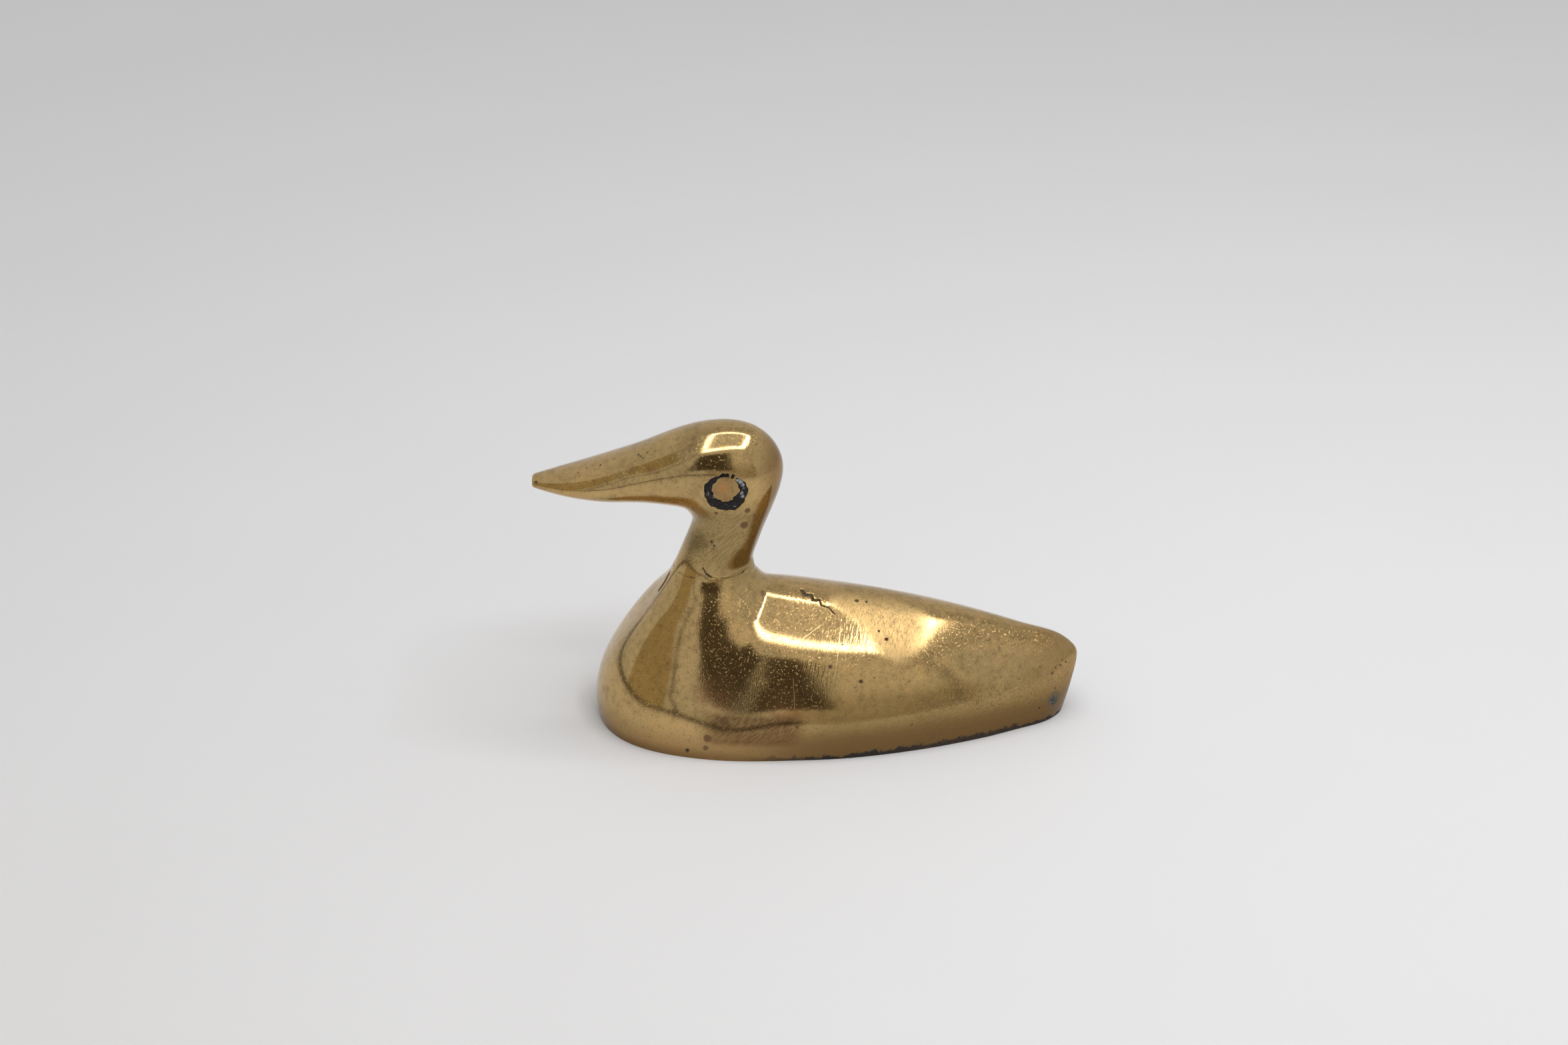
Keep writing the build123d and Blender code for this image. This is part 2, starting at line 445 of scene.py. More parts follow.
def eye_limits(angle):
    """Inner and outer reach of the groove from the middle of the eye at an angle."""
    a, b = eye_ring_width / 2, eye_ring_height / 2
    lumps = 0.1 * np.sin(5 * angle + 0.7) + 0.07 * np.sin(11 * angle + 2.0) + 0.05 * np.sin(19 * angle)
    outer = 1 / np.sqrt((np.cos(angle) / a) ** 2 + (np.sin(angle) / b) ** 2) + lumps
    outer = outer + 0.55 * np.maximum(0, -np.sin(angle)) ** 2
    r = eye_pupil_diameter / 2
    inner = eye_pupil_lift * np.sin(angle) + np.sqrt(r**2 - (eye_pupil_lift * np.cos(angle)) ** 2)
    nicks = 0.08 * np.sin(7 * angle + 1.1) + 0.07 * np.sin(13 * angle + 0.4)
    lobe = 0.4 * np.exp(-(((angle + 0.6 + math.pi) % (2 * math.pi) - math.pi) ** 2) / 0.12)
    return inner + nicks - lobe, outer


def eye_gap(angle):
    """1 in the two gaps of the enamel near the top of the eye, 0 elsewhere."""
    degrees = np.degrees(angle) % 360
    first = 1 - step((np.abs(degrees - 75.0) - 3.5) / 3.0)
    second = 1 - step((np.abs(degrees - 58.0) - 3.5) / 3.0)
    return np.maximum(first, second)


def inside_eye(points):
    """How far each point lies inside the groove's outline, in millimetres, negative outside."""
    across = points[:, 0] - eye_x
    rise = points[:, 2] - eye_z
    inner, outer = eye_limits(np.arctan2(rise, across))
    reach = np.hypot(across, rise)
    return np.minimum(outer - reach, reach - inner)


plug_half = back_half_width(plug_setback / slope_length)
plug_axis = np.array([math.sin(math.radians(plug_turn)), -math.cos(math.radians(plug_turn)), 0.0])
plug_mouth = np.array([tail_x - plug_setback, -plug_half, plug_height])

# Depths of the finishing, the wear and the grooves, in millimetres
skin_inset, long_wave, short_wave = 0.02, 0.005, 0.0012
left_crown_flat, right_crown_flat = 0.33, 0.06
base_edge_wear = 0.14
eye_groove_depth = 0.4
plug_well_depth = 0.14
# Where the crown was dressed flatter: x, distance from the middle plane, z, and its spread
crown_x, crown_aside, crown_z, crown_spread = -15.0, 5.8, 56.2, 28
# No eye lies nearer to the middle plane than this, and the plug is on the left alone
eye_side = 4
plug_side = -3


def crown_share(points, side):
    """1 at the flattest place of the crown on one side, fading away from it."""
    return np.exp(-((points - (crown_x, crown_aside * side, crown_z)) ** 2).sum(1) / crown_spread)


def form_mesh():
    """The whole skin with its finer patches, marks and worn edges, in millimetres."""
    bm = bmesh.new()
    verts = [bm.verts.new(p) for p in form_points]
    for face in form_faces:
        bm.faces.new([verts[i] for i in face])
    bmesh.ops.remove_doubles(bm, verts=bm.verts, dist=0.0005)
    bmesh.ops.dissolve_degenerate(bm, edges=bm.edges, dist=0.0001)
    bmesh.ops.recalc_face_normals(bm, faces=bm.faces)
    bm.faces.ensure_lookup_table()
    middles = np.array([f.calc_center_median() for f in bm.faces])
    fine = np.zeros(len(middles), bool)
    for path, half, _ in marks:
        low = np.min(path, axis=0) - half - 0.5
        high = np.max(path, axis=0) + half + 0.5
        close = np.nonzero(((middles > low) & (middles < high)).all(1))[0]
        fine[close[away_from(middles[close], path) < half + 0.35]] = True
    from_eye = np.hypot(middles[:, 0] - eye_x, middles[:, 2] - eye_z)
    eyes = (np.abs(inside_eye(middles)) < 1.2) & (from_eye < 4.6)
    off_axis = np.linalg.norm(np.cross(middles - plug_mouth, plug_axis), axis=1)
    plug = (off_axis < plug_diameter / 2 + 0.5) & (middles[:, 1] < plug_side)
    edges = {e for i in np.nonzero(fine | eyes | plug)[0] for e in bm.faces[i].edges}
    bmesh.ops.subdivide_edges(bm, edges=list(edges), cuts=2, use_grid_fill=True)
    bm.normal_update()
    points = np.array([v.co for v in bm.verts])
    normals = np.array([v.normal for v in bm.verts])
    depth = np.zeros(len(points))
    grime = np.zeros(len(points))
    # Hand finishing leaves the surface a little wavy
    wave = skin_inset + long_wave * rough(points, 9.0) + short_wave * rough(points, 3.6, 1.0)
    depth += wave * step(points[:, 2] / 1.5)
    # The crown is dressed a little flatter, more on the left of the head than on the right
    depth += left_crown_flat * crown_share(points, -1) + right_crown_flat * crown_share(points, 1)
    edge_noise = rough(points, 0.9, 2.0) + 0.6 * rough(points, 2.6, 3.0)
    low = step((1.2 - points[:, 2]) / 1.0) * step(points[:, 2] / 0.25)
    depth += low * base_edge_wear * np.clip(edge_noise, 0, 1)
    for path, half, deep in marks:
        low_corner = np.min(path, axis=0) - half - 0.6
        high_corner = np.max(path, axis=0) + half + 0.6
        close = np.nonzero(((points > low_corner) & (points < high_corner)).all(1))[0]
        if len(close) == 0:
            continue
        off = away_from(points[close], path) + 0.25 * half * rough(points[close], 0.35, 4.0)
        depth[close] = np.maximum(depth[close], deep * step(1.25 - off / half))
        grime[close] = np.maximum(grime[close], step(1.5 - off / half))
    outside = np.abs(points[:, 1]) > eye_side
    eye = inside_eye(points) * outside
    reach = np.hypot(points[:, 0] - eye_x, points[:, 2] - eye_z)
    angle = np.arctan2(points[:, 2] - eye_z, points[:, 0] - eye_x)
    groove = np.where((reach < 5) & outside, step(eye / 0.16), 0.0) * (1 - eye_gap(angle))
    depth += eye_groove_depth * groove
    grime = np.maximum(grime, groove)
    off_axis = np.linalg.norm(np.cross(points - plug_mouth, plug_axis), axis=1)
    well = np.where(points[:, 1] < plug_side, step((plug_diameter / 2 - off_axis) / 0.3 + 0.5), 0.0)
    depth += plug_well_depth * well
    moved = points - normals * depth[:, None]
    moved[:, 2] = np.maximum(moved[:, 2], 0.0)
    layer = bm.verts.layers.float.new("grime")
    for v, p, g in zip(bm.verts, moved, grime):
        v.co = p
        v[layer] = g
    return bm


# Edges that turn by more degrees than this stay sharp
sharp_turn = 42


def mesh_object(name, bm):
    """An object in the scene from a bmesh in millimetres."""
    bmesh.ops.scale(bm, vec=(MM, MM, MM), verts=bm.verts)
    mesh = bpy.data.meshes.new(name)
    bm.to_mesh(mesh)
    bm.free()
    mesh.shade_smooth()
    mesh.set_sharp_from_angle(angle=math.radians(sharp_turn))
    made = bpy.data.objects.new(name, mesh)
    bpy.context.scene.collection.objects.link(made)
    return made


def cut_flat(bm, height, keep_below):
    """Cuts a mesh at a height and returns the loop of edges that is left open."""
    geometry = bm.verts[:] + bm.edges[:] + bm.faces[:]
    bmesh.ops.bisect_plane(
        bm,
        geom=geometry,
        dist=0.0001,
        plane_co=(0, 0, height),
        plane_no=(0, 0, 1),
        clear_outer=keep_below,
        clear_inner=not keep_below,
    )
    open_edges = [e for e in bm.edges if e.is_boundary]
    return [e for e in open_edges if all(abs(v.co.z - height) < 0.001 for v in e.verts)]


# The dowel's hole is drawn with this many sides
hole_sides = 48


def close_round_hole(bm, loop, height, depth):
    """Closes an open loop with a flat face that has the dowel's hole in it."""
    made = bmesh.ops.create_circle(bm, cap_ends=False, segments=hole_sides, radius=dowel_hole_radius)
    circle = made["verts"]
    bmesh.ops.translate(bm, vec=(dowel_x, 0, height), verts=circle)
    rim = list({e for v in circle for e in v.link_edges})
    bmesh.ops.triangle_fill(bm, edges=loop + rim, use_beauty=True)
    if depth:
        deeper = bmesh.ops.extrude_edge_only(bm, edges=rim)["geom"]
        lower = [g for g in deeper if isinstance(g, bmesh.types.BMVert)]
        bmesh.ops.translate(bm, vec=(0, 0, depth), verts=lower)
        bmesh.ops.contextual_create(bm, geom=[g for g in deeper if isinstance(g, bmesh.types.BMEdge)])
    return rim


whole = form_mesh()

body_mesh = whole.copy()
loop = cut_flat(body_mesh, joint_z, True)
close_round_hole(body_mesh, loop, joint_z, -dowel_body_depth)
bmesh.ops.recalc_face_normals(body_mesh, faces=body_mesh.faces)
body_skin = mesh_object("body_casting_skin", body_mesh)

head_mesh = whole.copy()
loop = cut_flat(head_mesh, filler_top, False)
close_round_hole(head_mesh, loop, filler_top, dowel_head_depth)
bmesh.ops.recalc_face_normals(head_mesh, faces=head_mesh.faces)
head_skin = mesh_object("head_casting_skin", head_mesh)

braze_mesh = whole.copy()
cut_flat(braze_mesh, filler_top, True)
lower = cut_flat(braze_mesh, joint_z, False)
upper = [e for e in braze_mesh.edges if e.is_boundary and e.verts[0].co.z > joint_z + 0.1]
rim_above = close_round_hole(braze_mesh, upper, filler_top, 0)
rim_below = close_round_hole(braze_mesh, lower, joint_z, 0)
bmesh.ops.bridge_loops(braze_mesh, edges=rim_above + rim_below)
bmesh.ops.recalc_face_normals(braze_mesh, faces=braze_mesh.faces)
braze_skin = mesh_object("neck_braze_skin", braze_mesh)
whole.free()


def ring_solid(top, bottom):
    """A closed ring from two grids of points, angle by reach, one over the other."""
    around, across = top.shape[:2]
    bm = bmesh.new()
    upper = [[bm.verts.new(p) for p in row] for row in top]
    lower = [[bm.verts.new(p) for p in row] for row in bottom]
    for i in range(around):
        k = (i + 1) % around
        for j in range(across - 1):
            bm.faces.new((upper[i][j], upper[k][j], upper[k][j + 1], upper[i][j + 1]))
            bm.faces.new((lower[i][j], lower[i][j + 1], lower[k][j + 1], lower[k][j]))
        for j in (0, across - 1):
            bm.faces.new((upper[i][j], lower[i][j], lower[k][j], upper[k][j]))
    bmesh.ops.recalc_face_normals(bm, faces=bm.faces)
    return bm


# Worn enamel in the eye's groove: thick below, thin above, with two gaps near the top
enamel_thickness = 0.9
enamel_overlap = 0.02
enamel_columns, enamel_rows = 220, 15


def eye_enamel(name, side):
    angles = np.linspace(0, 2 * math.pi, enamel_columns, endpoint=False)
    inner, outer = eye_limits(angles)
    shares = np.linspace(0, 1, enamel_rows)
    reach = inner[:, None] - enamel_overlap + (outer - inner + 2 * enamel_overlap)[:, None] * shares
    x = eye_x + reach * np.cos(angles)[:, None]
    z = eye_z + reach * np.sin(angles)[:, None]
    flat = np.stack([x.ravel(), np.zeros(x.size), z.ravel()], -1)
    skin_y = np.array([on_left(px, pz)[1] for px, pz in zip(x.ravel(), z.ravel())])
    lumps = 0.07 * rough(flat, 0.5, 5.0) + 0.05 * rough(flat, 0.22, 6.0)
    sink = 0.05 + lumps.reshape(x.shape)
    from_edge = np.minimum(shares, 1 - shares)
    sink = sink + 0.22 * (1 - step(from_edge / 0.16))
    sink = sink + 0.6 * eye_gap(angles[:, None] + 0.04 * np.sin(15 * reach))
    thin = step((np.sin(angles) - 0.55) / 0.4)[:, None]
    chips = step((rough(flat, 0.45, 8.0).reshape(x.shape) - 0.25) / 0.15)
    sink = sink + 0.5 * chips * thin
    skin_y = skin_y.reshape(x.shape)
    top = np.stack([x, skin_y + np.maximum(sink, -0.02) + 0.05, z], -1)
    bottom = np.stack([x, skin_y + enamel_thickness, z], -1)
    if side > 0:
        top[..., 1] *= -1
        bottom[..., 1] *= -1
    return mesh_object(name, ring_solid(top, bottom))


left_enamel = eye_enamel("left_eye_enamel_fill", -1)
right_enamel = eye_enamel("right_eye_enamel_fill", 1)

# The plug's thickness and fineness, and how far out the skin is looked for along its axis
plug_thickness = 0.8
plug_columns, plug_rows = 64, 12
plug_approach = 8


def tail_plug_fill():
    """A dressed plug of soft solder, a little uneven, in its well beside the tail end."""
    first = np.array([0.0, 0.0, 1.0])
    second = np.cross(plug_axis, first)
    angles = np.linspace(0, 2 * math.pi, plug_columns, endpoint=False)
    shares = np.linspace(0.02, 1, plug_rows)
    points = []
    for angle in angles:
        for share in shares:
            r = share * (plug_diameter / 2 + 0.02 + 0.03 * math.sin(5 * angle))
            place = plug_mouth + r * (math.cos(angle) * first + math.sin(angle) * second)
            points.append(on_skin(place + plug_approach * plug_axis, -plug_axis))
    grid = np.array(points)
    rim_drop = np.tile(0.06 * step((shares - 0.8) / 0.2), len(angles))
    sink = 0.05 + 0.025 * rough(grid, 0.4, 9.0) + rim_drop
    top = (grid - sink[:, None] * plug_axis).reshape(len(angles), len(shares), 3)
    bottom = top - plug_thickness * plug_axis
    bm = ring_solid(top, bottom)
    bmesh.ops.holes_fill(bm, edges=bm.edges)
    return mesh_object("tail_plug_fill", bm)


plug_fill = tail_plug_fill()

# Finishes


class Wire:
    """A shader socket that takes part in Python expressions."""

    def __init__(self, tree, socket):
        self.tree = tree
        self.socket = socket

    def node(self, kind, settings=None, values=None, result=0):
        """Adds a node, sets it up, joins its inputs and returns one of its outputs."""
        made = self.tree.nodes.new(kind)
        for key, value in (settings or {}).items():
            setattr(made, key, value)
        for key, value in (values or {}).items():
            if isinstance(value, Wire):
                self.tree.links.new(value.socket, made.inputs[key])
            else:
                made.inputs[key].default_value = value
        return Wire(self.tree, made.outputs[result])

    def math(self, operation, *values):
        return self.node("ShaderNodeMath", {"operation": operation}, dict(enumerate(values)))

    def __add__(self, other):
        return self.math("ADD", self, other)

    def __radd__(self, other):
        return self.math("ADD", other, self)

    def __sub__(self, other):
        return self.math("SUBTRACT", self, other)

    def __rsub__(self, other):
        return self.math("SUBTRACT", other, self)

    def __mul__(self, other):
        return self.math("MULTIPLY", self, other)

    def __rmul__(self, other):
        return self.math("MULTIPLY", other, self)

    def most(self, other):
        return self.math("MAXIMUM", self, other)

    def between(self, low, high):
        """0 below low and 1 above high, with a soft step between."""
        return self.node(
            "ShaderNodeMapRange",
            {"interpolation_type": "SMOOTHSTEP"},
            {"Value": self, "From Min": low, "From Max": high},
        )

    def vector(self, operation, other, result=0):
        return self.node("ShaderNodeVectorMath", {"operation": operation}, {0: self, 1: other}, result)

    def axis(self, number):
        return self.node("ShaderNodeSeparateXYZ", None, {0: self}, number)

    def noise(self, scale, detail=4.0, roughness=0.55, result=0):
        """Noise over a place, with its scale in waves per millimetre."""
        values = {"Vector": self, "Scale": scale, "Detail": detail, "Roughness": roughness}
        return self.node("ShaderNodeTexNoise", None, values, result)

    def cells(self, scale, channel):
        """A chance for each scattered cell, and the distance from the middle of the cell."""
        values = {"Vector": self, "Scale": scale, "Randomness": 1.0}
        chance = self.node("ShaderNodeTexVoronoi", None, values, 1).axis(channel)
        return chance, self.node("ShaderNodeTexVoronoi", None, values, 0)

    def brushed(self, turn, along, across):
        """Noise drawn out along one direction, as fine scratches are."""
        settings = {"rotation_type": "EULER_XYZ"}
        turned = self.node("ShaderNodeVectorRotate", settings, {0: self, "Rotation": turn})
        return turned.vector("MULTIPLY", (along, across, across)).noise(1.0, 2.0, 0.5)

    def tint(self, first, second):
        """A colour that goes from first to second as this value goes from 0 to 1."""
        settings = {"data_type": "RGBA", "blend_type": "MIX", "clamp_factor": True}
        return self.node("ShaderNodeMix", settings, {0: self, 6: first, 7: second}, 2)

    def near(self, point, radius, edge):
        """1 within a radius of a point, fading to 0 over an edge."""
        return 1 - self.vector("DISTANCE", point, 1).between(radius, radius + edge)


def new_finish(name):
    """A material, its main shader and the place on the surface in millimetres."""
    material = bpy.data.materials.new(name)
    material.use_nodes = True
    tree = material.node_tree
    shader = tree.nodes["Principled BSDF"]
    start = Wire(tree, tree.nodes.new("ShaderNodeTexCoord").outputs["Object"])
    place = start.node("ShaderNodeVectorMath", {"operation": "SCALE"}, {0: start, 3: 1 / MM})
    return material, shader, place


def feed(shader, name, wire):
    wire.tree.links.new(wire.socket, shader.inputs[name])


def bumped(height, strength):
    """A normal from a height in millimetres."""
    values = {"Strength": strength, "Distance": MM, "Height": height}
    return height.node("ShaderNodeBump", None, values)


# Brown tarnish spots on the left side: x, z and radius
spots = (
    (-11.4, 44.3, 0.55),
    (-12.0, 41.1, 0.75),
    (-10.1, 42.9, 0.35),
    (-17.0, 43.9, 0.35),
    (-20.9, 53.3, 0.5),
    (-8.6, 26.2, 0.6),
    (-10.0, 23.5, 0.4),
    (3.6, 16.45, 0.45),
    (9.2, 13.9, 0.45),
    (11.7, 14.3, 0.2),
    (-18.8, 4.3, 0.7),
    (-19.1, 2.4, 0.5),
    (-15.7, 7.5, 0.8),
    (18.65, 5.55, 0.25),
    (22.5, 2.4, 0.4),
    (-2.4, 6.9, 0.35),
    (27.9, 9.3, 0.3),
)

# Long scratches on the left flank, from x and z to x and z, and the way that the flank faces there
flank_outward = (0.0, -0.8, 0.6)
scratches = (
    (5.6, 21.6, 4.5, 14.5),
    (1.8, 22.0, -1.4, 20.5),
    (8.5, 20.5, 7.2, 18.6),
    (-3.1, 14.8, -2.9, 10.3),
)

# Colours of the brass, from bright metal to black crust and painted contact shadow
fresh_gold = (0.75, 0.58, 0.30, 1.0)
gold = (0.60, 0.40, 0.17, 1.0)
olive = (0.47, 0.335, 0.145, 1.0)
neck_olive = (0.34, 0.255, 0.115, 1.0)
amber = (0.33, 0.205, 0.085, 1.0)
warm_copper = (0.50, 0.235, 0.08, 1.0)
red_patina_and_reflection = (0.42, 0.18, 0.08, 1.0)
hind_brown = (0.23, 0.15, 0.055, 1.0)
brown = (0.16, 0.085, 0.035, 1.0)
halo_grey = (0.13, 0.105, 0.07, 1.0)
black = (0.022, 0.016, 0.012, 1.0)

# Middles of the duller and the rubbed patches, in millimetres
neck_middle = (-14.5, 0.0, 38.0)
nape_middle = (-5.5, 0.0, 50.0)
pupil_middle = (eye_x, -7.6, eye_z + 0.4)
warm_middle = (eye_x - 0.2, -7.4, eye_z + 1.1)
shoulder_middle = (12.0, -6.0, 21.5)
comb_middle = (7.0, -6.5, 22.0)
scratched_reflection_middle = (-10.5, -19.0, 6.0)
plug_halo_rise = (0.0, 0.0, 0.35)

# Turns that lay scratches down the flank, slanting on the neck and the breast, or across
flank_turn = (-0.8, 0.0, 1.75)
slant_turn = (0.0, 0.75, 0.0)
cross_turn = (0.5, -0.5, 0.9)

# The outlines of spots are bent by noise, which also moves them by half as much
spot_bend = 0.5
spot_shift = spot_bend / 2


def brass_finish(name):
    material, shader, place = new_finish(name)
    along = place.axis(0)
    height = place.axis(2)
    wander = place.noise(1.4, 3.0, 0.6, 1)
    bent = place.vector("ADD", wander.vector("MULTIPLY", (spot_bend, spot_bend, spot_bend)))
    cloud = place.noise(0.06, 4.0, 0.6)
    mottle = place.noise(0.7, 6.0, 0.65)
    grain = place.noise(3.2, 3.0, 0.6)
    colour = (cloud * 0.6 + mottle * 0.4).between(0.36, 0.64).tint(gold, olive)
    # Duller zones that hands and polish don't reach: near the base, round the neck, the tail, the
    # nape and the pupil. The lowest band of the rim is browned as crust with painted contact shadow
    low_zone = 1 - (height + 3.0 * mottle).between(2.5, 8.5)
    rim_crust_and_shadow = 1 - (height + 2.0 * mottle).between(1.4, 3.6)
    neck_zone = place.near(neck_middle, 7.5, 4.5)
    nape_zone = place.near(nape_middle, 4.0, 4.5)
    tail_zone = along.between(36.0, 47.0) * 0.7
    colour = (neck_zone * 0.85).tint(colour, neck_olive)
    pupil = place.near(pupil_middle, 2.0, 1.2)
    dull = low_zone.most(nape_zone).most(tail_zone).most(pupil)
    blotch = place.noise(0.35, 5.0, 0.7).between(0.46, 0.72) * 0.4
    colour = (dull * (0.55 + 0.5 * mottle)).most(blotch).tint(colour, amber)
    hind_zone = (1 - (height + 3.0 * mottle).between(6.0, 11.0)) * along.between(-14.0, 8.0)
    colour = (hind_zone * 0.9).tint(colour, hind_brown)
    tarnish = (cloud * 0.4 + mottle * 0.4 + grain * 0.2).between(0.54, 0.68)
    freckle = (grain * 0.7 + mottle * 0.3).between(0.53, 0.66)
    low_hind = (1 - (height + 2.0 * mottle).between(4.0, 7.5)) * along.between(-22.0, 2.0)
    # The browning takes in the lowest rim band, crust with painted contact shadow
    browned = (tarnish * 0.35).most(freckle * 0.5).most(rim_crust_and_shadow * 0.5)
    browned = browned.most(low_hind * 0.55).most(nape_zone * 0.3)
    colour = browned.tint(colour, brown)
    # Fine specks and finer pits, from cells of which few have one
    chance, off_middle = place.cells(0.55, 0)
    specks = (chance * 0.34 - 0.23 - off_middle).between(0.0, 0.05)
    chance, off_middle = place.cells(1.6, 1)
    pits = (chance * 0.5 - 0.36 - off_middle).between(0.0, 0.06)
    stain = specks * 0.7
    for x, z, radius in spots:
        spot = on_left(x, z) + spot_shift
        stain = stain.most(bent.near(tuple(spot), radius * 0.75, radius * 0.5))
    colour = (stain * (0.72 + 0.28 * grain)).tint(colour, brown)
    # Reddish brown patina with a painted reflection in two patches of the breast, a warmer pupil
    # and a dark halo round the plug
    # The two breast patches are patina and also a painted reddish reflection
    front_patina_reflection = bent.near(tuple(on_left(-17.0, 12.5)), 1.5, 4.0)
    rear_patina_reflection = bent.near(tuple(on_left(-4.5, 10.5)), 1.5, 3.5)
    patina_and_reflection = front_patina_reflection.most(rear_patina_reflection) * mottle.between(0.3, 0.7)
    colour = (patina_and_reflection * 0.7).tint(colour, red_patina_and_reflection)
    warm = bent.near(warm_middle, 0.7, 0.7)
    colour = (warm * 0.5).tint(colour, warm_copper)
    halo_start = plug_mouth + plug_approach * plug_axis + plug_halo_rise
    halo = on_skin(halo_start, -plug_axis) + spot_shift
    bloom = bent.near(tuple(halo), 1.15, 0.9)
    colour = (bloom * 0.75).tint(colour, halo_grey)
    # Dirt in the marks, and a black crust at the foot of the rear flank that also holds painted
    # contact shadow
    grime = place.node("ShaderNodeAttribute", {"attribute_name": "grime"}, None, 2)
    crust_and_shadow_noise = place.noise(0.45, 4.0, 0.65)
    heap = 0.5 * along.between(2.0, 22.0) * (1 - 0.8 * along.between(33.0, 41.0))
    # Painted contact shadow along the base, together with the crust
    foot_crust_and_shadow = 1 - (height - 3.4 * crust_and_shadow_noise - 0.4 * grain - heap).between(-1.4, -0.9)
    foot_crust_and_shadow = foot_crust_and_shadow * along.between(-14.0, 2.0)
    dark = (grime * (0.55 + 0.6 * grain)).most(foot_crust_and_shadow).most(pits * 0.75)
    colour = dark.tint(colour, black)
    # Scratches that run down the flanks, stronger on the shoulder, and slanting ones on the neck
    # and the lower breast
    behind_diagonal = (along + 1.28 * place.axis(1)).between(-3.2, 0.8)
    shoulder = place.near(shoulder_middle, 6.5, 5.5) * behind_diagonal
    comb = place.brushed(flank_turn, 0.08, 2.6) * place.near(comb_middle, 9.0, 7.0)
    down = place.brushed(flank_turn, 0.12, 6.0)
    slant = place.brushed(slant_turn, 0.12, 6.0)
    cross = place.brushed(cross_turn, 0.1, 7.0)
    patch = place.noise(0.11, 2.0, 0.5)
    # Low on the breast: a scratched patch with a painted dark reflection over it
    scratched_dark_reflection = place.near(scratched_reflection_middle, 6.5, 4.5) * height.between(2.5, 4.0)
    scratched_dark_reflection = scratched_dark_reflection * (1 - height.between(8.0, 9.6))
    low_flank = 1 - height.between(8.0, 12.0)
    hatch = down * (0.4 + 0.6 * shoulder.most(patch.between(0.5, 0.62)))
    hatch = hatch + slant * (neck_zone * 2.2).most(scratched_dark_reflection * 0.4)
    hatch = hatch + cross * (1 - patch.between(0.36, 0.5)) * 0.3
    flecks = place.noise(2.6, 3.0, 0.6).between(0.6, 0.7)
    # Painted dark reflection over the low breast patch, darker along its scratches
    lines = scratched_dark_reflection * (0.62 + 0.38 * slant.between(0.42, 0.58))
    lines = lines.most(neck_zone * slant.between(0.5, 0.62) * 0.6)
    lines = lines.most(shoulder * down.between(0.5, 0.62) * 0.5)
    lines = lines.most(low_flank * along.between(12.0, 24.0) * down.between(0.48, 0.6) * 0.5)
    # Painted shade: a brown band in the hollow at the back of the neck, under the head
    nape_hollow_shade = (along - 0.374 * height).between(-25.0, -24.2) * height.between(31.0, 34.0)
    nape_hollow_shade = nape_hollow_shade * (1 - height.between(46.0, 49.0))
    colour = (lines * 0.9).most(nape_hollow_shade * 0.6).tint(colour, brown)
    # Each long scratch lies where a plane across the flank meets the skin
    scored = 0.0
    for x0, z0, x1, z1 in scratches:
        first, last = on_left(x0, z0), on_left(x1, z1)
        square = np.cross(last - first, flank_outward)
        square = square / np.linalg.norm(square)
        off = place.vector("DOT_PRODUCT", tuple(square), 1) - float(square @ first)
        line = 1 - off.math("ABSOLUTE", off).between(0.03, 0.12)
        half_length = float(np.linalg.norm(last - first)) / 2
        line = line * place.near(tuple((first + last) / 2), half_length, 0.8)
        scored = line.most(scored)
    colour = (scored * 0.4).tint(colour, fresh_gold)
    feed(shader, "Base Color", colour)
    roughness = 0.06 + 0.2 * scored + 0.06 * mottle + 0.1 * tarnish + 0.05 * hatch
    roughness = roughness + 0.3 * stain + 0.5 * dark + 0.3 * bloom
    rubbed = (0.32 * shoulder).most(0.16 * along.between(22.0, 40.0) * low_flank)
    feed(shader, "Roughness", roughness + rubbed)
    feed(shader, "Metallic", 1 - (0.75 * dark).most(stain * 0.41).most(patina_and_reflection * 0.12).most(bloom * 0.5))
    relief = comb * 0.045 + hatch * 0.014 + flecks * 0.02 - pits * 0.08
    relief = relief - specks * 0.015 + grain * 0.004 + mottle * 0.008
    feed(shader, "Normal", bumped(relief, 0.6))
    return material


def braze_finish(name):
    material, shader, place = new_finish(name)
    mottle = place.noise(1.3, 5.0, 0.65)
    colour = mottle.between(0.4, 0.62).tint((0.62, 0.45, 0.18, 1.0), (0.18, 0.10, 0.045, 1.0))
    feed(shader, "Base Color", colour)
    feed(shader, "Roughness", 0.22 + 0.3 * mottle)
    shader.inputs["Metallic"].default_value = 1.0
    feed(shader, "Normal", bumped(mottle * 0.05, 0.5))
    return material


